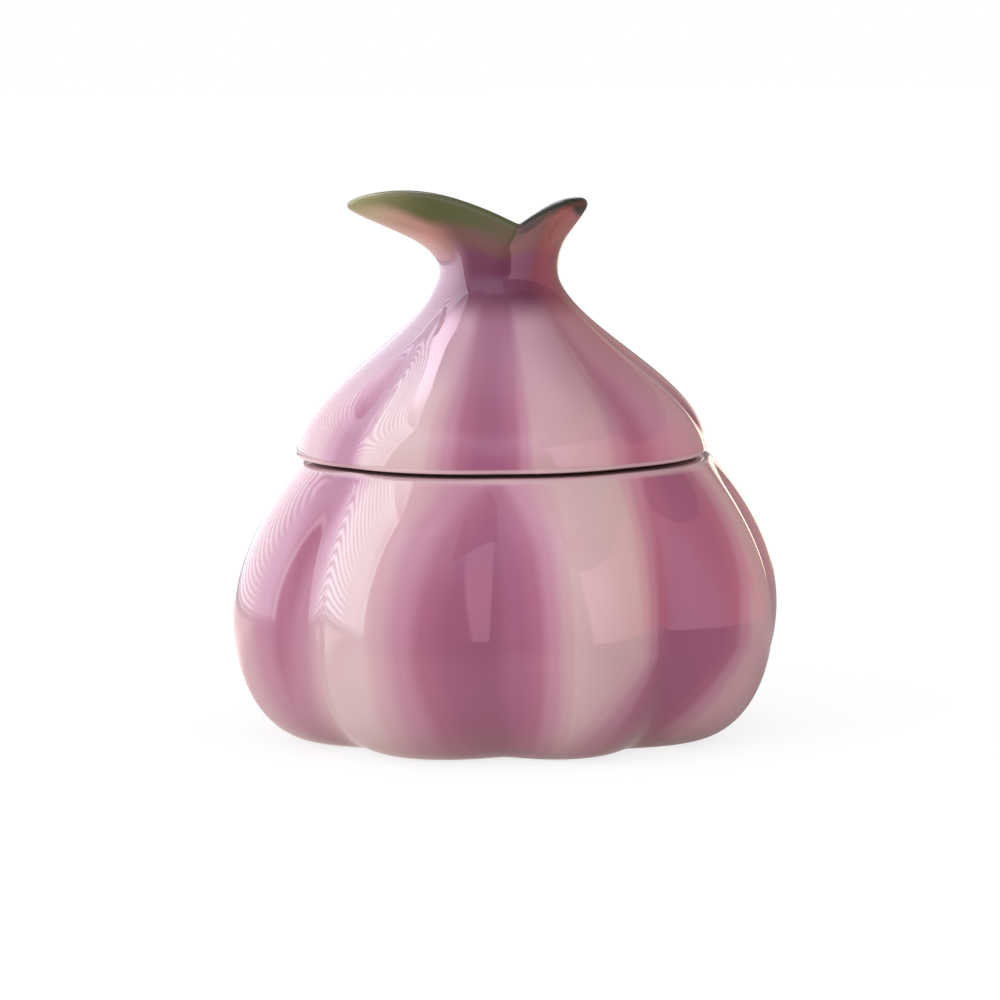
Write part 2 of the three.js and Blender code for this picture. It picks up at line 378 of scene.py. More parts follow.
def bowl_outside():
    swell = BELLY_RADIUS - FOOT_RADIUS
    foot = arc((FOOT_RADIUS, BELLY_HEIGHT), swell, BELLY_HEIGHT, -QUARTER, 0, BOWL_STEPS)
    edge = arc((seat_radius, seat_height - SEAT_ROUND), SEAT_ROUND, SEAT_ROUND, QUARTER / 2, QUARTER)
    slope = SHOULDER_SLOPE * math.sqrt(0.5)
    shoulder_handle = (BELLY_RADIUS, BELLY_HEIGHT + SHOULDER_RISE)
    edge_handle = (edge[0][0] + slope, edge[0][1] - slope)
    shoulder = free_curve(foot[-1], shoulder_handle, edge_handle, edge[0], BOWL_STEPS)
    return foot + shoulder[1:] + edge[1:]


def bowl_inside():
    belly = (BELLY_RADIUS - BOWL_WALL, BELLY_HEIGHT)
    collar = (MOUTH_RADIUS, collar_height)
    collar_handle = (MOUTH_RADIUS + COLLAR_REACH, collar_height)
    belly_handle = (belly[0], BELLY_HEIGHT + SHOULDER_RISE)
    shoulder = free_curve(collar, collar_handle, belly_handle, belly, BOWL_STEPS)
    floor_edge = FOOT_RADIUS - BOWL_WALL
    depth = BELLY_HEIGHT - bowl_floor
    base = arc((floor_edge, BELLY_HEIGHT), belly[0] - floor_edge, depth, 0, -QUARTER, BOWL_STEPS)
    return shoulder + base[1:]


print("seat at, mm:", round(1000 * seat_height, 1))

# %% [markdown]
# ## Growing and spraying the bowl
#
# The rings run from the recess under the foot up the outside, over the seat and down the inside. A gun
# sprays round things while they turn, so a band leans and thins smoothly with height, and the spray is
# worked out for each vertex from its column and its height. Painting it by hand would not reach both sides
# of a seam alike.

# %% Model the bowl
LEAN_HEIGHT = 0.026
THIN_HEIGHT = 0.022
FOOT_THIN = 0.25


def bowl_spray(column, height):
    low = max(0, 1 - height / LEAN_HEIGHT)
    high = max(0, (height - BELLY_HEIGHT) / (seat_height - BELLY_HEIGHT))
    foot_left = 1 - FOOT_THIN * max(0, 1 - height / THIN_HEIGHT)
    changes = [
        (low * foot_lean + high * seat_lean, foot_left * (1 - high**2 * seat_thin))
        for foot_lean, seat_lean, seat_thin in zip(BOWL_FOOT_LEANS, BOWL_SEAT_LEANS, BOWL_SEAT_THINS)
    ]
    return sprayed(BOWL_SPRAY_SHARES, BOWL_BLUSH_SHARES, column, changes)


def model_bowl():
    recess_radius = FOOT_RADIUS - FOOT_CREASE - FOOT_RING_WIDTH
    piece = start_disc("jar", DISC_SHARE * recess_radius, (0, 0, FOOT_RECESS))
    placed_ring(piece, turned, recess_radius - FOOT_ROUND, FOOT_RECESS)
    scaled_ring(piece, recess_radius, FOOT_RECESS - FOOT_ROUND)
    scaled_ring(piece, recess_radius, FOOT_ROUND)
    scaled_ring(piece, recess_radius + FOOT_ROUND, 0)
    for radius, height in bowl_outside():
        placed_ring(piece, bowl_place, radius, height)
    mouth_edge = (MOUTH_RADIUS + MOUTH_ROUND, seat_height - MOUTH_ROUND)
    scaled_rings(piece, arc(mouth_edge, MOUTH_ROUND, MOUTH_ROUND, QUARTER, 2 * QUARTER))
    for radius, height in bowl_inside():
        scaled_ring(piece, radius, height, inner_crease(height), inside=1)
    scaled_ring(piece, DISC_SHARE * FOOT_RADIUS, bowl_floor)
    scaled_ring(piece, POLE_RADIUS, bowl_floor)
    close_shell(piece, bowl_spray)
    return piece


jar = model_bowl()
print("bowl:", len(jar.data.polygons), "faces")

# %% [markdown]
# ## The lid
#
# The lid is the same kind of shell. It starts from the floor of the little cup in the stem, climbs the
# inside of the two leaves, rolls over their lip, and comes down the stem and the hood. Under the rim it
# turns in to the bearing that lies on the seat, goes down and round the flange that keeps the lid in the
# mouth, and ends at the top of the hollow hood. Several shells could be joined at their edges, but one
# casting has no seams.

# %% Set the heights of the lid
SEAT_GAP = 0.0003
RIM_LIFT = 0.0007
RIM_OVERHANG = 0.0018
HOOD_RISE = 0.0462
CUP_DEPTH = 0.003

bearing_height = seat_height + SEAT_GAP
rim_radius = seat_radius + RIM_OVERHANG
rim_height = bearing_height + RIM_LIFT
neck_height = seat_height + HOOD_RISE
cup_floor = neck_height - CUP_DEPTH
print("rim and neck at, mm:", round(1000 * rim_height, 1), round(1000 * neck_height, 1))

# %% [markdown]
# ## The leaves
#
# The top of the real stem opens like a throat into a long leaf and a short one. They bend too freely for an
# outline, so each column of the stem is a Bezier curve of its own, from the round neck up to a rim that is
# highest along the leaves and lowest in the notches between them.

# %% Place the rings of the stem
NECK_RADIUS = 0.01475
STEM_RISE_SHARE = 0.5
LEAF_CURL_SHARE = 0.38
LEAF_HALF_WIDTH = 0.014
LEAF_TAPER_POWER = 1.2
LEAF_FULLNESS_POWER = 0.75
NOTCH_RISE = 0.0116
NOTCH_OFFSET = 0.0038
BACK_DROP = 0.0022
BACK_DROP_POWER = 1.7
LONG_LEAF = {"reach": -0.0444, "tip_rise": 0.017, "arch": 0.0037, "dip_power": 3.5}
SHORT_LEAF = {"reach": 0.0181, "tip_rise": 0.017, "arch": 0.0012, "dip_power": 2}


def leaf_rim(turn, wall):
    """A point of the leaves' rim, one wall inside its outer edge."""
    leaf = LONG_LEAF if math.sin(turn) < 0 else SHORT_LEAF
    notch_share = 1 - math.acos(min(1, abs(math.cos(turn)))) / QUARTER
    reach = leaf["reach"] - math.copysign(wall, leaf["reach"])
    half_width = LEAF_HALF_WIDTH - wall
    dip = (leaf["tip_rise"] - NOTCH_RISE) * notch_share ** leaf["dip_power"]
    if math.cos(turn) < 0:
        dip += BACK_DROP * notch_share**BACK_DROP_POWER
    return Vector((
        NOTCH_OFFSET + reach * (1 - notch_share**LEAF_TAPER_POWER),
        -math.copysign(half_width, math.cos(turn)) * notch_share**LEAF_FULLNESS_POWER,
        neck_height + leaf["tip_rise"] - dip + leaf["arch"] * math.sin(math.pi * notch_share),
    ))


def along(start, start_handle, end_handle, end, share):
    """A place on the Bezier curve between two ends, by their handles."""
    keep = 1 - share
    return (
        start * keep**3 + start_handle * 3 * keep**2 * share
        + end_handle * 3 * keep * share**2 + end * share**3
    )


def stem_place(column, share, wall):
    """A place on the stem, a share of the way from the neck to the rim."""
    foot = turned(column, NECK_RADIUS - wall, neck_height, 0, 1)
    top = leaf_rim(even_turn(column), wall)
    run = top - foot
    lift = wall * run.xy.length / run.length
    low_handle = foot + Vector((0, 0, run.z * STEM_RISE_SHARE + lift))
    high_handle = top - run * LEAF_CURL_SHARE + Vector((0, 0, lift))
    return along(foot, low_handle, high_handle, top, share)


print("long leaf's tip, mm:", [round(1000 * size, 1) for size in leaf_rim(-QUARTER, 0)])

# %% [markdown]
# ## The lip of the leaves
#
# Glaze rounds every edge, and a round edge catches a line of light. The lip rolls from the inside of a leaf
# over to its outside, and it is blunter at the tips. A bevel would be quicker, but it would be as wide in
# the notches as at the tips, and the column's own curve can be rolled by any amount.

# %% Roll the lip and model the stem
LEAF_WALL = 0.0032
LIP_START_SHARE = 0.94
LIP_PROBE_SHARE = 0.02
LIP_LIFT_SHARE = 0.6
TIP_LIFT_SHARE = 2.6
LIP_ROLL_SHARE = 0.66
TIP_ROLL_SHARE = 0.85
TIP_POWER = 6
STEM_STEPS = 14
LIP_STEPS = 6


def lip_place(column, share):
    """A place on the lip, on its rolled edge from the inside of a leaf over to the outside."""
    tip = abs(math.sin(even_turn(column))) ** TIP_POWER
    up = Vector((0, 0, lerp(LIP_LIFT_SHARE, TIP_LIFT_SHARE, tip)))
    sides = []
    for wall in (LEAF_WALL, 0):
        edge = stem_place(column, LIP_START_SHARE, wall)
        onward = (edge - stem_place(column, LIP_START_SHARE - LIP_PROBE_SHARE, wall)).normalized()
        sides.append((edge, (onward + up).normalized()))
    (inner, inner_run), (outer, outer_run) = sides
    roll = lerp(LIP_ROLL_SHARE, TIP_ROLL_SHARE, tip) * (outer - inner).length
    return along(inner, inner + inner_run * roll, outer + outer_run * roll, outer, share)


def model_stem(piece):
    """From the cup up the inside of the leaves, over the lip, and down the outside to the neck."""
    for step in range(STEM_STEPS + 1):
        share = LIP_START_SHARE * step / STEM_STEPS
        placed_ring(piece, stem_place, share, LEAF_WALL, leaf=share)
    for step in range(1, LIP_STEPS):
        placed_ring(piece, lip_place, step / LIP_STEPS, leaf=1)
    for step in range(STEM_STEPS + 1):
        share = LIP_START_SHARE * (1 - step / STEM_STEPS)
        placed_ring(piece, stem_place, share, 0, leaf=share)


print("rings of the stem:", 2 * STEM_STEPS + LIP_STEPS + 1)

# %% [markdown]
# ## The hood
#
# The hood falls from the neck to the rim in one hollow curve, and its creases line up with the bowl's. They
# were pressed in by hand, so each has its own depth and runs out at its own height. Creases that all run up
# to the neck would be simpler, but the photograph shows that the front ones don't.

# %% Model the hood
HOOD_CREASE = 0.005
HOOD_CREASE_SHARES = (0.7, 0.35, 0.6, 1.0, 0.9, 0.9, 0.9, 0.9)
HOOD_CREASE_ENDS = (0.62, 0.75, 0.85, 1.0, 0.9, 0.9, 0.9, 0.9)
HOOD_RIM_RISE = 0.0161
HOOD_RIM_BULGE = 0.0008
HOOD_NECK_DROP = 0.0152
HOOD_NECK_FLARE = 0.0039
HOOD_STEPS = 20
RIM_ROUND = 0.0014
RIM_CREASE = 0.0012


def hood_place(column, radius, height, share):
    """A place on the hood. Each crease has its own depth and runs out at its own height."""
    nearest = nearest_crease(column)
    climb = min(1, share / HOOD_CREASE_ENDS[nearest])
    crease = HOOD_CREASE * HOOD_CREASE_SHARES[nearest] * math.sin(math.pi * climb)
    return turned(column, radius, height, lerp(RIM_CREASE, 0, share) + crease, share, RIM_OFFSET)


def model_hood(piece):
    """From the neck down to the rim."""
    start = (rim_radius, rim_height + RIM_ROUND)
    start_handle = (start[0] + HOOD_RIM_BULGE, start[1] + HOOD_RIM_RISE)
    neck_handle = (NECK_RADIUS + HOOD_NECK_FLARE, neck_height - HOOD_NECK_DROP)
    outline = free_curve((NECK_RADIUS, neck_height), neck_handle, start_handle, start, HOOD_STEPS)
    for step, (radius, height) in enumerate(outline[1:], 1):
        placed_ring(piece, hood_place, radius, height, 1 - step / HOOD_STEPS)


print("deepest crease of the hood, mm:", 1000 * HOOD_CREASE * max(HOOD_CREASE_SHARES))

# %% [markdown]
# ## Under the rim
#
# The lid would slide off a flat seat, so a flange reaches down into the mouth with a little play. Behind it
# the casting is hollow, which keeps the lid light and its wall even. The photograph shows neither, so they
# follow the CAD. They could be left square, but cast and glazed edges never are.

# %% Model the flange and the hollow, and close the lid
FLANGE_CLEARANCE = 0.0012
FLANGE_WALL = 0.004
FLANGE_DEPTH = 0.007
FLANGE_ROUND = 0.0012
BEARING_WIDTH = 0.005
HOOD_WALL = 0.0046
DOME_CROWN = 0.008
DOME_RIM_RISE = 0.007
DOME_RIM_INWARD = 0.0055
CUP_FLOOR_WALL = 0.0045
CUP_FLOOR_RADIUS = 0.007


def model_flange(piece):
    """Round the rim, in to the bearing, and round the flange."""
    rim_edge = (rim_radius - RIM_ROUND, rim_height + RIM_ROUND)
    for radius, height in arc(rim_edge, RIM_ROUND, RIM_ROUND, 0, -QUARTER)[1:]:
        placed_ring(piece, turned, radius, height, RIM_CREASE, 0, RIM_OFFSET)
    outer = MOUTH_RADIUS - FLANGE_CLEARANCE
    inner = outer - FLANGE_WALL
    foot = seat_height - FLANGE_DEPTH + FLANGE_ROUND
    bearing = MOUTH_RADIUS + BEARING_WIDTH
    placed_ring(piece, turned, bearing + RIM_LIFT, rim_height, inside=1)
    scaled_ring(piece, bearing, bearing_height)
    scaled_ring(piece, outer, bearing_height)
    scaled_rings(piece, arc((outer - FLANGE_ROUND, foot), FLANGE_ROUND, FLANGE_ROUND, 0, -QUARTER))
    inner_edge = (inner + FLANGE_ROUND, foot)
    scaled_rings(piece, arc(inner_edge, FLANGE_ROUND, FLANGE_ROUND, 3 * QUARTER, 2 * QUARTER))


def model_hollow(piece):
    """From behind the rim up to the top of the hollow hood."""
    pocket = (rim_radius - HOOD_WALL, rim_height + HOOD_WALL)
    pocket_handle = (pocket[0] - DOME_RIM_INWARD, pocket[1] + DOME_RIM_RISE)
    apex = (POLE_RADIUS, cup_floor - CUP_FLOOR_WALL)
    apex_handle = (DOME_CROWN, apex[1])
    scaled_ring(piece, MOUTH_RADIUS - FLANGE_CLEARANCE - FLANGE_WALL, pocket[1])
    outline = free_curve(pocket, pocket_handle, apex_handle, apex, HOOD_STEPS)
    for step, (radius, height) in enumerate(outline):
        share = step / HOOD_STEPS
        crease = INNER_CREASE_SHARE * HOOD_CREASE * math.sin(math.pi * share) ** 2
        placed_ring(piece, turned, radius, height, crease, share)


def model_lid():
    piece = start_disc("lid_shell", CUP_FLOOR_RADIUS / 2, (NECK_OFFSET, 0, cup_floor))
    placed_ring(piece, turned, CUP_FLOOR_RADIUS, cup_floor, 0, 1)
    model_stem(piece)
    model_hood(piece)
    model_flange(piece)
    model_hollow(piece)
    close_shell(piece, lambda column, height: sprayed(LID_SPRAY_SHARES, LID_BLUSH_SHARES, column))
    return piece


lid = model_lid()
print("lid:", len(lid.data.polygons), "faces")

# %% [markdown]
# ## Colours and nodes
#
# Colours are written as they look on a screen, from 0 to 255, and turned into the linear values that
# shaders use. Nodes are added by small helpers, so that each recipe below reads as a list of coats. The
# node tree could be handed on from call to call, but every socket knows its own tree.

# %% Colour and node helpers


def shade(red, green, blue):
    """A screen colour as a linear one."""

    def linear(value):
        value /= 255
        return value / 12.92 if value <= 0.04045 else ((value + 0.055) / 1.055) ** 2.4

    return (linear(red), linear(green), linear(blue), 1)


def add_node(tree, kind, inputs=(), **settings):
    """Adds a shader node, with values or links for its inputs, given by name or number."""
    node = tree.nodes.new("ShaderNode" + kind)
    for name, value in settings.items():
        setattr(node, name, value)
    for name, value in dict(inputs).items():
        if isinstance(value, bpy.types.NodeSocket):
            tree.links.new(value, node.inputs[name])
        else:
            node.inputs[name].default_value = value
    return node


def coat(share, under, over):
    """One colour laid over another, by a share."""
    return add_node(share.id_data, "Mix", {0: share, 6: under, 7: over}, data_type="RGBA").outputs[2]


def spread(value, start, end, low, high, interpolation="SMOOTHSTEP"):
    """A value moved from the range of start to end into the range of low to high."""
    inputs = {"Value": value, "From Min": start, "From Max": end, "To Min": low, "To Max": high}
    return add_node(value.id_data, "MapRange", inputs, interpolation_type=interpolation).outputs[0]


def fade(value, start, end, cover=1.0):
    """0 where a value is at its start, full cover at its end, and smooth between."""
    return spread(value, start, end, 0.0, cover)


def calc(operation, first, second):
    """One step of arithmetic. One of its two values may be a plain number."""
    socket = first if isinstance(first, bpy.types.NodeSocket) else second
    return add_node(socket.id_data, "Math", {0: first, 1: second}, operation=operation).outputs[0]


def product(result, *factors):
    for factor in factors:
        result = calc("MULTIPLY", result, factor)
    return result


def rest_of(share, cover=1.0):
    """What a share leaves over, when all of it covers only a part."""
    return calc("SUBTRACT", 1.0, product(share, cover))


def axes_of(place):
    return add_node(place.id_data, "SeparateXYZ", {0: place}).outputs


def surface(shader):
    add_node(shader.id_data, "OutputMaterial", {"Surface": shader.outputs[0]})


def mark(place, name):
    """An attribute that the shell carries on its vertices."""
    return add_node(place.id_data, "Attribute", attribute_name=name).outputs["Fac"]


def noise(place, scale, detail=2.0):
    inputs = {"Vector": place, "Scale": scale, "Detail": detail}
    return add_node(place.id_data, "TexNoise", inputs).outputs["Fac"]


def ramp_of(value, stops, interpolation="LINEAR"):
    """A colour ramp through a list of positions and colours."""
    ramp = add_node(value.id_data, "ValToRGB", {"Fac": value})
    ramp.color_ramp.interpolation = interpolation
    elements = ramp.color_ramp.elements
    while len(elements) < len(stops):
        elements.new(1)
    for element, (position, colour) in zip(elements, stops):
        element.position = position
        element.color = colour
    return ramp.outputs[0]


def new_material(name):
    """A new material, and the place on the object that its recipe builds on."""
    material = bpy.data.materials.new(name)
    material.use_nodes = True
    material.node_tree.nodes.clear()
    return material, add_node(material.node_tree, "TexCoord").outputs["Object"]


# %% [markdown]
# ## Glaze
#
# Glazed ceramic is colour under glass: a soft-edged body that scatters light, and a clear, hard coat over
# it that mirrors the room. One Principled shader holds both, with the body's roughness fairly high and a
# clear coat of full weight and low roughness. The coat gets its own slight bump, because glaze pools and
# ripples, and a mirror on perfectly even clay looks like plastic.

# %% Glaze settings and spray colours
GLAZE_ROUGHNESS = 0.4
BODY_SHINE = 0.15
COAT_ROUGHNESS = 0.012
COAT_IOR = 1.6
RIPPLE_SCALE = 70
RIPPLE_DEPTH = 0.00004
BAND_WANDER_SCALE = 30
BAND_WANDER = 0.16
SPRAY_STOPS = [
    (0.0, shade(208, 178, 178)),
    (0.12, shade(200, 158, 166)),
    (0.28, shade(186, 131, 152)),
    (0.45, shade(166, 99, 125)),
    (0.62, shade(157, 92, 121)),
    (1.0, shade(154, 91, 119)),
]
INNER_CREAM = shade(232, 222, 212)


def glaze_shader(colour, place):
    """The Principled shader of a glazed surface."""
    tree = place.id_data
    ripple = add_node(tree, "Bump", {
        "Height": noise(place, RIPPLE_SCALE), "Strength": 1.0, "Distance": RIPPLE_DEPTH,
    })
    shader = add_node(tree, "BsdfPrincipled", {
        "Base Color": colour,
        "Roughness": GLAZE_ROUGHNESS,
        "Specular IOR Level": BODY_SHINE,
        "Coat Weight": 1.0,
        "Coat Roughness": COAT_ROUGHNESS,
        "Coat IOR": COAT_IOR,
        "Normal": ripple.outputs[0],
        "Coat Normal": ripple.outputs[0],
    })
    surface(shader)


def sprayed_colour(place):
    """Cream clay with the sprayed bands over it, their edges a little uneven."""
    wander = calc("SUBTRACT", noise(place, BAND_WANDER_SCALE), 0.5)
    amount = calc("ADD", mark(place, "spray"), product(wander, BAND_WANDER))
    return ramp_of(amount, SPRAY_STOPS, "EASE")


# %% [markdown]
# ## The bowl's glaze
#
# Over the sprayed colour the bowl has three more coats: thin beige at the foot, a painted reflection of the
# pale table, a paler rose on the seat, partly the seat's own colour and partly painted light against the
# shade under the lid's rim, and a plain cream inside, where no spray reached. Each could be a material of
# its own, but their edges are soft on the real jar, so they fade over each other by height.

# %% Glaze the bowl
# Painted reflection of the pale table: beige laid over the spray towards the foot.
FOOT_TABLE_REFLECTION = shade(178, 140, 130)
FOOT_REFLECTION_FADE = (0.012, 0.001)
FOOT_REFLECTION_COVER = 0.35
# Painted light on the seat: a paler rose over the bands, partly the seat's own colour, lifting the shade
# under the lid's rim.
SEAT_ROSE_AND_LIGHT = shade(204, 174, 180)
SEAT_LIGHT_FADE = (0.0670, 0.0683)
SEAT_LIGHT_COVER = 0.75


def bowl_glaze():
    material, place = new_material("glaze_on_bowl")
    height = axes_of(place)["Z"]
    colour = sprayed_colour(place)
    # The painted table reflection, growing towards the foot.
    colour = coat(fade(height, *FOOT_REFLECTION_FADE, FOOT_REFLECTION_COVER), colour, FOOT_TABLE_REFLECTION)
    # Painted light on the seat, where the lid's rim shades it.
    colour = coat(fade(height, *SEAT_LIGHT_FADE, SEAT_LIGHT_COVER), colour, SEAT_ROSE_AND_LIGHT)
    colour = coat(mark(place, "inside"), colour, INNER_CREAM)
    glaze_shader(colour, place)
    return material


jar.data.materials.append(bowl_glaze())
print("the bowl's glaze:", jar.data.materials[0].name)

# %% [markdown]
# ## The lid's glaze
#
# The lid's colour runs from mauve bands on the hood to plum on the neck, brown on the stem and green on the
# rims of the leaves. Over the hood and the neck there is painted light in lilac on the left and a painted
# warm reflection in rose on the right, and a painted pale highlight runs along the rim's lower edge. The
# keels, which are the undersides of the leaves, stay salmon. Height alone can't tell a leaf from the stem,
# so the shell carries how far up the stem a ring is, and how close a column is to a keel.

# %% Glaze the lid
HOOD_MAUVE = shade(160, 104, 130)
# Painted light: lilac on the hood's left side, where the window falls.
HOOD_LEFT_LIGHT_LILAC = shade(176, 136, 158)
HOOD_PALE = shade(186, 142, 158)
# Painted warm reflection: rose on the hood's right side.
HOOD_RIGHT_REFLECTION_ROSE = shade(178, 124, 134)
NECK_PLUM = shade(108, 52, 78)
# Painted light in lilac on the neck's left side, and a painted warm reflection in rose on its right.
NECK_LEFT_LIGHT_LILAC = shade(166, 122, 140)
NECK_RIGHT_REFLECTION_ROSE = shade(136, 74, 90)
STEM_BROWN = shade(111, 75, 68)
KEEL_SALMON = shade(182, 130, 117)
KEEL_ROSE = shade(170, 104, 102)
LONG_OLIVE = shade(80, 83, 43)
TIP_OLIVE = shade(150, 146, 102)
TIP_BEIGE = shade(190, 172, 140)
SHORT_GREEN = shade(46, 54, 42)
# Painted highlight: a pale pink line along the lower edge of the lid's rim.
RIM_HIGHLIGHT_PINK = shade(236, 208, 210)
RIM_HIGHLIGHT_FADE = (0.0713, 0.0703)
RIM_HIGHLIGHT_COVER = 0.7
PALE_SPRAY = (0.42, 0.08)
HOOD_FADE = (0.078, 0.104)
NECK_FADE = (0.1025, 0.1105)
# Where the painted side light fades in: across the middle of the stem and along the keels.
SIDE_BLEND = 0.003
LEFT_KEEL = (0.42, 0.84)
RIGHT_KEEL = (0.45, 0.85)
LONG_SIDE = (0.0055, 0.0025)
LEAF_WANDER_SCALE = 90
LEAF_WANDER_DETAIL = 4
LEAF_WANDER = 0.18
BROWN_RISE = (0.18, 0.45)
SALMON_KEEL = (0.53, 0.92)
SALMON_RISE = (0.02, 0.36)
SALMON_SHORT_LIFT = 0.12
BEIGE_REACH = (-0.020, -0.036)
OLIVE_START = 0.49
OLIVE_KEEL = (0.74, 1.0)
OLIVE_KEEL_LIFT = 0.26
OLIVE_RISE = (0.0, 0.28)
OLIVE_NOTCH = (0.0, 0.35)
OLIVE_NOTCH_COVER = 0.5
OLIVE_LIP = (0.88, 0.96)
OLIVE_REACH = (-0.016, -0.042)
GREEN_START = 0.68
GREEN_KEEL = (0.25, 0.60)
GREEN_KEEL_LIFT = 0.17
GREEN_TIP = (0.88, 1.0)
GREEN_TIP_DROP = 0.10
GREEN_RISE = (0.0, 0.12)


def painted_side_light(place, middle, left, right):
    """One colour at the front and back of the stem, painted lilac light on the left, a painted warm
    reflection on the right.
    """
    keel = mark(place, "keel")
    to_right = fade(axes_of(place)["X"], -SIDE_BLEND, SIDE_BLEND)
    to_left = rest_of(to_right)
    colour = coat(product(fade(keel, *LEFT_KEEL), to_left), middle, left)
    return coat(product(fade(keel, *RIGHT_KEEL), to_right), colour, right)


def leaf_colours(colour, place):
    """Plum up to brown on the stem, salmon on the keels, and green along the rims."""
    leaf = mark(place, "leaf")
    keel = mark(place, "keel")
    across = axes_of(place)["X"]
    long_side = fade(across, *LONG_SIDE)
    short_side = rest_of(long_side)
    wander = calc("SUBTRACT", noise(place, LEAF_WANDER_SCALE, LEAF_WANDER_DETAIL), 0.5)
    uneven = calc("ADD", leaf, product(wander, LEAF_WANDER))
    colour = coat(fade(uneven, *BROWN_RISE), colour, STEM_BROWN)

    low = calc("SUBTRACT", uneven, product(short_side, SALMON_SHORT_LIFT))
    salmon = product(fade(keel, *SALMON_KEEL), fade(low, *SALMON_RISE))
    keel_colour = coat(short_side, KEEL_SALMON, KEEL_ROSE)
    keel_colour = coat(fade(across, *BEIGE_REACH), keel_colour, TIP_BEIGE)
    colour = coat(salmon, colour, keel_colour)

    lift = fade(keel, *OLIVE_KEEL, OLIVE_KEEL_LIFT)
    above = calc("SUBTRACT", uneven, calc("ADD", lift, OLIVE_START))
    off_notch = spread(keel, *OLIVE_NOTCH, OLIVE_NOTCH_COVER, 1.0)
    cover = calc("MAXIMUM", off_notch, fade(leaf, *OLIVE_LIP))
    green = product(fade(above, *OLIVE_RISE), long_side, cover)
    olive = coat(fade(across, *OLIVE_REACH), LONG_OLIVE, TIP_OLIVE)
    colour = coat(green, colour, olive)

    lift = fade(keel, *GREEN_KEEL, GREEN_KEEL_LIFT)
    drop = fade(keel, *GREEN_TIP, GREEN_TIP_DROP)
    start = calc("SUBTRACT", calc("ADD", lift, GREEN_START), drop)
    above = calc("SUBTRACT", uneven, start)
    dark = product(fade(above, *GREEN_RISE), short_side)
    return coat(dark, colour, SHORT_GREEN)


def lid_glaze():
    material, place = new_material("glaze_on_lid")
    height = axes_of(place)["Z"]
    colour = sprayed_colour(place)
    # The painted highlight along the rim's lower edge.
    colour = coat(fade(height, *RIM_HIGHLIGHT_FADE, RIM_HIGHLIGHT_COVER), colour, RIM_HIGHLIGHT_PINK)
    hood = coat(fade(mark(place, "spray"), *PALE_SPRAY), HOOD_MAUVE, HOOD_PALE)
    # Painted light on the sides of the hood and the neck: lilac on the left, a warm rose reflection on the
    # right.
    hood = painted_side_light(place, hood, HOOD_LEFT_LIGHT_LILAC, HOOD_RIGHT_REFLECTION_ROSE)
    colour = coat(fade(height, *HOOD_FADE), colour, hood)
    neck = painted_side_light(place, NECK_PLUM, NECK_LEFT_LIGHT_LILAC, NECK_RIGHT_REFLECTION_ROSE)
    colour = coat(fade(height, *NECK_FADE), colour, neck)
    colour = leaf_colours(colour, place)
    colour = coat(mark(place, "inside"), colour, INNER_CREAM)
    glaze_shader(colour, place)
    return material


lid.data.materials.append(lid_glaze())
print("the lid's glaze:", lid.data.materials[0].name)

# %% [markdown]
# ## Bare clay
#
# Glaze would stick to the kiln shelf and weld the lid to the bowl, so the potter wipes it off where they
# rest: on the foot ring, on the inner half of the seat, and on the lid's bearing. There the dry, grainy
# clay shows. Another attribute could hide the coat, but a second material is what the real surface is.

# %% Wipe the foot, the seat and the bearing
CLAY_TAN = shade(138, 112, 98)
CLAY_BUFF = shade(158, 132, 116)
CLAY_ROUGHNESS = 0.85
GRAIN_SCALE = 900
GRAIN_DETAIL = 6
GRAIN_CONTRAST = (0.35, 0.65)
GRAIN_DEPTH = 0.00012
WIPED_RADIUS = 0.0475
WIPED_DEPTH = 0.0003


def bare_clay():
    material, place = new_material("bare_clay")
    tree = material.node_tree
    grain = noise(place, GRAIN_SCALE, GRAIN_DETAIL)
    colour = coat(fade(grain, *GRAIN_CONTRAST), CLAY_TAN, CLAY_BUFF)
    bump = add_node(tree, "Bump", {"Height": grain, "Strength": 1.0, "Distance": GRAIN_DEPTH})
    shader = add_node(tree, "BsdfPrincipled", {
        "Base Color": colour, "Roughness": CLAY_ROUGHNESS, "Normal": bump.outputs[0],
    })
    surface(shader)
    return material


def wipe(piece, is_bare):
    """Gives bare clay to the faces whose centres say so."""
    piece.data.materials.append(clay)
    bare = [face for face in piece.data.polygons if is_bare(face.center)]
    for face in bare:
        face.material_index = 1
    print(piece.name, "bare faces:", len(bare))


clay = bare_clay()
wipe(jar, lambda centre: centre.z < WIPED_DEPTH or (
    centre.z > seat_height - WIPED_DEPTH and centre.xy.length < WIPED_RADIUS
))
wipe(lid, lambda centre: bearing_height - WIPED_DEPTH < centre.z < rim_height + WIPED_DEPTH and (
    centre.xy.length < MOUTH_RADIUS + BEARING_WIDTH + RIM_LIFT
))

# %% [markdown]
# ## Floor and world
#
# The jar stands on a pale floor in an evenly lit white studio. The world is plain white to the camera and
# in reflections, and dimmer to all other light. The floor is paper with a little glow of its own to the
# camera, just enough to be white in the open, so that it still keeps the jar's soft shadow. More light
# would whiten the background too, but it would bleach the glaze with it.

# %% Lay the floor and light the world
WORLD_LIGHT = 0.8
FLOOR_GREY = 0.75
SEEN_GREY = 0.26
SEEN_GLOW = 0.80
FLOOR_SIZE = 8


def seen_directly(tree):
    """1 for the camera and for mirrored and refracted rays, 0 for all other light."""
    path = add_node(tree, "LightPath").outputs
    mirrored = calc("MAXIMUM", path["Is Glossy Ray"], path["Is Transmission Ray"])
    return calc("MAXIMUM", path["Is Camera Ray"], mirrored)


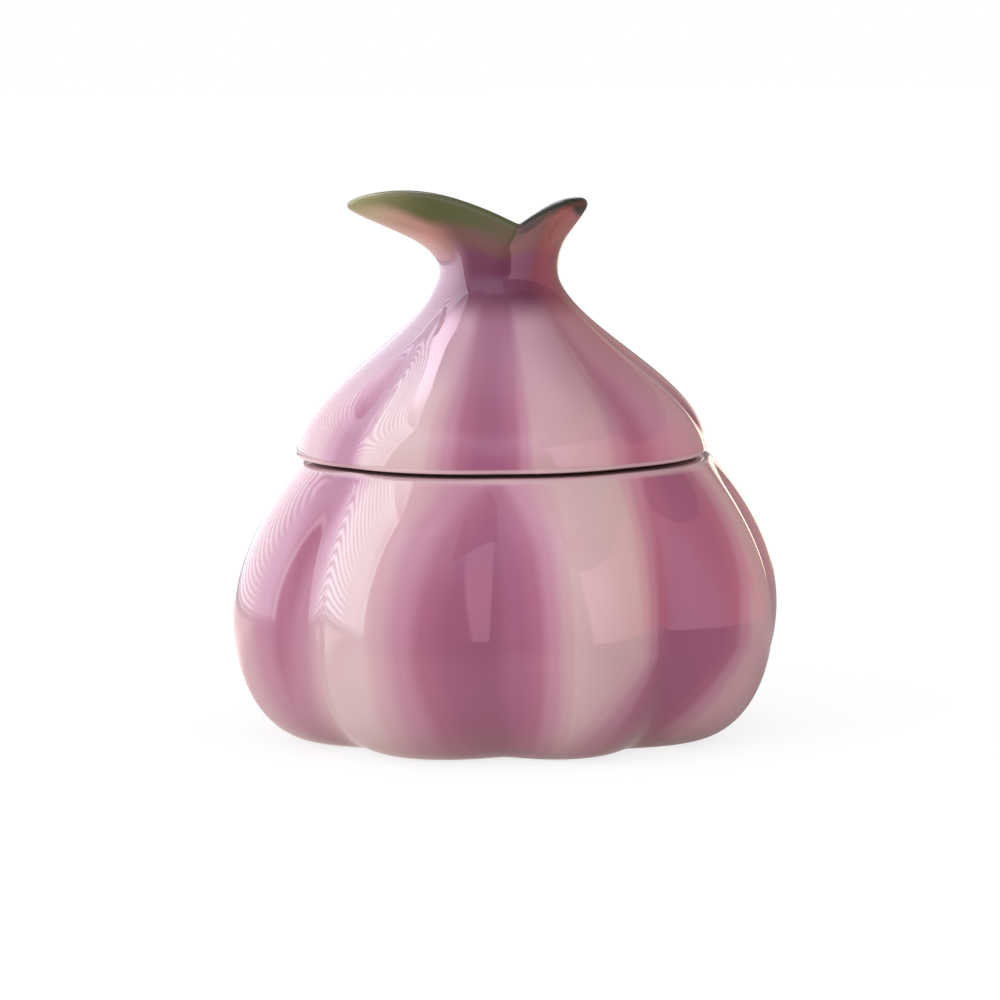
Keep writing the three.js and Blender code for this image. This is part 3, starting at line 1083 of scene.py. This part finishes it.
scene = bpy.context.scene
scene.view_settings.view_transform = "Standard"
world = bpy.data.worlds.new("studio")
scene.world = world
world.use_nodes = True
world.node_tree.nodes.clear()
level = calc("MAXIMUM", seen_directly(world.node_tree), WORLD_LIGHT)
background = add_node(world.node_tree, "Background", {"Color": (1, 1, 1, 1), "Strength": level})
add_node(world.node_tree, "OutputWorld", {"Surface": background.outputs[0]})

bpy.ops.object.select_all(action="DESELECT")
bpy.ops.mesh.primitive_plane_add(size=FLOOR_SIZE)
floor = bpy.context.object
floor.name = "floor"
floor_white, _ = new_material("floor_white")
tree = floor_white.node_tree
paper = add_node(tree, "BsdfDiffuse", {"Color": (FLOOR_GREY, FLOOR_GREY, FLOOR_GREY, 1)})
seen_paper = add_node(tree, "BsdfDiffuse", {"Color": (SEEN_GREY, SEEN_GREY, SEEN_GREY, 1)})
glow = add_node(tree, "Emission", {"Color": (1, 1, 1, 1), "Strength": SEEN_GLOW})
seen = add_node(tree, "AddShader", {0: seen_paper.outputs[0], 1: glow.outputs[0]})
both = add_node(tree, "MixShader", {0: seen_directly(tree), 1: paper.outputs[0], 2: seen.outputs[0]})
surface(both)
floor.data.materials.append(floor_white)
print("floor, m:", floor.dimensions.x)

# %% [markdown]
# ## Lamps
#
# A broad lamp stands where the window is, and a weak one opposite keeps the far side from going grey. A sun
# would be simpler, but its shadows are hard, and a window's are not.

# %% Hang the lamps
LAMP_AIM = Vector((0, 0, 0.06))
LAMP_SIZE = 0.8


def soft_lamp(name, place, power, tint):
    bpy.ops.object.light_add(type="AREA", location=place)
    lamp = bpy.context.object
    lamp.name = name
    lamp.data.size = LAMP_SIZE
    lamp.data.energy = power
    lamp.data.color = tint
    lamp.rotation_mode = "QUATERNION"
    lamp.rotation_quaternion = (LAMP_AIM - lamp.location).to_track_quat("-Z", "Y")
    lamp.visible_glossy = False
    return lamp


window_lamp = soft_lamp("window_lamp", (-1.0, -0.7, 0.40), 7, (0.96, 0.95, 1.0))
fill_lamp = soft_lamp("fill_lamp", (0.9, -0.9, 0.25), 2.5, (1.0, 0.80, 0.70))
print("lamps, W:", window_lamp.data.energy, fill_lamp.data.energy)

# %% [markdown]
# ## The room in the glaze
#
# Glaze is a mirror, and half of what makes this jar look wet is what stands round it. Only mirrored rays
# see this room, so it adds no light of its own and can be as bright as the picture asks. Separate cards
# would do too, but a round wall painted by direction has no gaps. It stands close, because the bowl and the
# neck then mirror different parts of it, as they do in the photograph.

# %% Size the room and its helpers
ROOM_RADIUS = 0.45
ROOM_HEIGHT = 0.60
ROOM_SIDES = 96
ROUND_TURN = 360


def direction_of(place):
    """A place's direction from the jar, from 0 behind it round by the left to 1, and its height."""
    axes = axes_of(place)
    turn = calc("ARCTAN2", axes["X"], product(axes["Y"], -1.0))
    share = calc("ADD", calc("DIVIDE", turn, 2 * math.pi), 0.5)
    return share, axes["Z"]


def light_up(colour, power):
    surface(add_node(power.id_data, "Emission", {"Color": colour, "Strength": power}))


def hang(name, material):
    """Names the newest object and hides it from everything but mirrored rays."""
    thing = bpy.context.object
    thing.name = name
    thing.data.materials.append(material)
    for ray in ("camera", "diffuse", "transmission", "volume_scatter", "shadow"):
        setattr(thing, f"visible_{ray}", False)
    print(name, "across, m:", round(thing.dimensions.x, 2))


def add_room_disc(radius, height):
    bpy.ops.object.select_all(action="DESELECT")
    bpy.ops.mesh.primitive_circle_add(vertices=ROOM_SIDES, radius=radius, fill_type="NGON")
    bpy.context.object.location.z = height


print("room, m:", 2 * ROOM_RADIUS, "across and", ROOM_HEIGHT, "high")

# %% [markdown]
# ## The wall
#
# The wall has a tall window with a slatted blind on the left, a dark side behind the camera, a warm panel
# on the right and a thin bright gap past it. Directions are in degrees: 0 is towards the camera and 90 is
# to the right. A colour ramp holds them all, and what changes with height is laid over it.

# %% Paint and raise the wall
WALL_POWER = 3.0
WALL_STOPS = [
    (-180, (0.36, 0.34, 0.36)),
    (-165, (0.52, 0.52, 0.56)),
    (-140, (0.60, 0.60, 0.66)),
    (-118, (0.66, 0.67, 0.76)),
    (-80, (0.74, 0.75, 0.88)),
    (-74, (0.60, 0.58, 0.68)),
    (-73, (1.00, 1.00, 1.00)),
    (-71, (1.00, 1.00, 1.00)),
    (-70, (0.12, 0.09, 0.11)),
    (-12, (0.10, 0.07, 0.09)),
    (0, (0.03, 0.02, 0.025)),
    (25, (0.03, 0.02, 0.025)),
    (26, (0.60, 0.33, 0.44)),
    (60, (0.46, 0.24, 0.30)),
    (80, (0.38, 0.11, 0.10)),
    (118, (0.22, 0.07, 0.06)),
    (132, (0.14, 0.09, 0.07)),
    (156, (0.16, 0.10, 0.08)),
    (160, (0.84, 0.68, 0.55)),
    (163, (0.84, 0.68, 0.55)),
    (167, (0.22, 0.18, 0.17)),
    (180, (0.36, 0.34, 0.36)),
]
SLAT_ANGLE = math.radians(2.5)
SLAT_DEPTH = 0.5
BLIND_EDGE = -92
BLIND_FADE = 14
SILL_END = 0.31
SILL_RISE = (0.052, 0.012)
SILL_LOSS = 0.8
RIGHT_START = 0.52
PANEL_TOP = 0.365
PANEL_SLANT = 0.07
PANEL_TOP_LOSS = 0.7
FRONT_GLOW = (0.34, 0.36, 0.50, 1)
FRONT_LEFT = (0.30, 0.34)
FRONT_RIGHT = (0.60, 0.56)
FRONT_RISE = (0.14, 0.52)
FRONT_COVER = 0.7
WINDOW_SHARE = (180 - 70) / ROUND_TURN
SKYLIT_RISE = (0.40, ROOM_HEIGHT)
SKYLIT_GAIN = 0.4
GAP_SIDE = (0.905, 0.925)
GAP_RISE = (0.05, 0.13)
GAP_LOSS = 0.8


def slats(share, height):
    """The slats of the window's blind, which is drawn aside at the window's right edge."""
    rise = calc("ARCTAN2", height, ROOM_RADIUS)
    wave = calc("SINE", product(rise, 2 * math.pi / SLAT_ANGLE), 0.0)
    edge = (180 + BLIND_EDGE) / ROUND_TURN
    on_blind = fade(share, edge, edge - BLIND_FADE / ROUND_TURN)
    return product(wave, on_blind, SLAT_DEPTH)


def paint_wall():
    material, place = new_material("room_wall")
    share, height = direction_of(place)
    on_right = calc("GREATER_THAN", share, RIGHT_START)
    slant = product(height, PANEL_SLANT, on_right)
    stops = [((turn + 180) / ROUND_TURN, (*colour, 1)) for turn, colour in WALL_STOPS]
    colour = ramp_of(calc("ADD", share, slant), stops)
    in_front = product(fade(share, *FRONT_LEFT), fade(share, *FRONT_RIGHT))
    glow = product(fade(height, *FRONT_RISE), in_front, FRONT_COVER)
    colour = coat(glow, colour, FRONT_GLOW)

    above = product(calc("GREATER_THAN", height, PANEL_TOP), on_right, PANEL_TOP_LOSS)
    power = calc("SUBTRACT", calc("ADD", slats(share, height), 1.0), above)
    sill = product(fade(height, *SILL_RISE), calc("LESS_THAN", share, SILL_END))
    power = product(power, rest_of(sill, SILL_LOSS))
    by_window = calc("LESS_THAN", share, WINDOW_SHARE)
    skylit = product(fade(height, *SKYLIT_RISE, SKYLIT_GAIN), by_window)
    power = product(power, calc("ADD", skylit, 1.0))
    gap_top = product(fade(share, *GAP_SIDE), fade(height, *GAP_RISE))
    power = product(power, rest_of(gap_top, GAP_LOSS), WALL_POWER)
    light_up(colour, power)
    return material


bpy.ops.object.select_all(action="DESELECT")
bpy.ops.mesh.primitive_cylinder_add(
    vertices=ROOM_SIDES, radius=ROOM_RADIUS, depth=ROOM_HEIGHT, end_fill_type="NOTHING",
    location=(0, 0, ROOM_HEIGHT / 2),
)
bpy.ops.object.transform_apply(location=True, rotation=False, scale=False)
hang("room_wall", paint_wall())

# %% [markdown]
# ## The ceiling
#
# Over the window the ceiling is bright, and the left side of the hood mirrors that as one pale sheet with a
# slanting edge. The rest is dim, most of all above the jar and behind it. The edge runs with the window's,
# so it is drawn by direction as well as by place.

# %% Paint and hang the ceiling
CEILING_TINT = (0.95, 0.84, 1.0, 1)
CEILING_SIZE = 1.1
CEILING_POWERS = (-0.17, 0.35, 1.25, 0.12)
BEHIND_REACH = (0.0, 0.22)
BEHIND_LOSS = 0.75
OVERHEAD_BACK = (0.05, -0.10)
OVERHEAD_FRONT = (-0.42, -0.26)
OVERHEAD_LOSS = 0.6
SKY_EDGE = -0.235
SKY_EDGE_WIDTH = 0.006
SKY_SLANT = 0.6
SKY_BEND = 0.1
SKY_POWER = 2.8
SKY_BACK = (0.0, 0.2)
SKY_LEFT = (-0.32, -0.42)
SKY_LEFT_LOSS = 0.5
WINDOW_EDGE_WIDTH = 0.004


def paint_ceiling():
    material, place = new_material("room_ceiling")
    axes = axes_of(place)
    dim = spread(axes["X"], *CEILING_POWERS, "LINEAR")
    behind = fade(axes["Y"], *BEHIND_REACH, BEHIND_LOSS)
    overhead = product(fade(axes["Y"], *OVERHEAD_BACK), fade(axes["Y"], *OVERHEAD_FRONT))
    shaded = calc("MAXIMUM", behind, product(overhead, OVERHEAD_LOSS))
    dim = product(dim, rest_of(shaded))

    sky = spread(axes["Y"], *SKY_BACK, SKY_POWER, 2 * SKY_POWER)
    sky = product(sky, rest_of(fade(axes["X"], *SKY_LEFT), SKY_LEFT_LOSS))
    bend = calc("MAXIMUM", calc("SUBTRACT", SKY_BEND, axes["Y"]), 0.0)
    across = calc("ADD", axes["X"], product(bend, SKY_SLANT))
    past_edge = fade(across, SKY_EDGE, SKY_EDGE - SKY_EDGE_WIDTH)
    share, _ = direction_of(place)
    by_window = fade(share, WINDOW_SHARE, WINDOW_SHARE - WINDOW_EDGE_WIDTH)
    power = add_node(place.id_data, "Mix", {0: product(past_edge, by_window), 2: dim, 3: sky})
    light_up(CEILING_TINT, power.outputs[0])
    return material


add_room_disc(CEILING_SIZE * ROOM_RADIUS, ROOM_HEIGHT)
hang("room_ceiling", paint_ceiling())

# %% [markdown]
# ## The table
#
# The lower half of the bowl mirrors the table that it stands on: pale close by and behind, dim further out,
# and brighter towards the window. The floor could do this too, but then the picture's background would
# change with every correction to the reflections.

# %% Paint and lay the table
TABLE_TINT = (1.0, 0.80, 0.78, 1)
TABLE_LIFT = 0.0002
TABLE_POWERS = (0.06, 0.30, 0.55, 0.16)
TABLE_BACK = (0.0, 0.09)
TABLE_BACK_GAIN = 0.7
TABLE_SIDES = (-0.06, 0.10, 1.4, 0.4)


def paint_table():
    material, place = new_material("room_table")
    axes = axes_of(place)
    distance = add_node(place.id_data, "VectorMath", {0: place}, operation="LENGTH").outputs["Value"]
    behind = fade(axes["Y"], *TABLE_BACK, TABLE_BACK_GAIN)
    power = calc("ADD", spread(distance, *TABLE_POWERS), behind)
    light_up(TABLE_TINT, product(power, spread(axes["X"], *TABLE_SIDES)))
    return material


add_room_disc(ROOM_RADIUS, TABLE_LIFT)
hang("room_table", paint_table())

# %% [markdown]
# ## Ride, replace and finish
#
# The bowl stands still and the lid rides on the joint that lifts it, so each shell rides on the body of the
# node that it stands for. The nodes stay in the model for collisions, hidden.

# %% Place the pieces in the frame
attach(jar, "jar_body")
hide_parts("jar_body")
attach(lid, "lid")
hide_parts("lid")
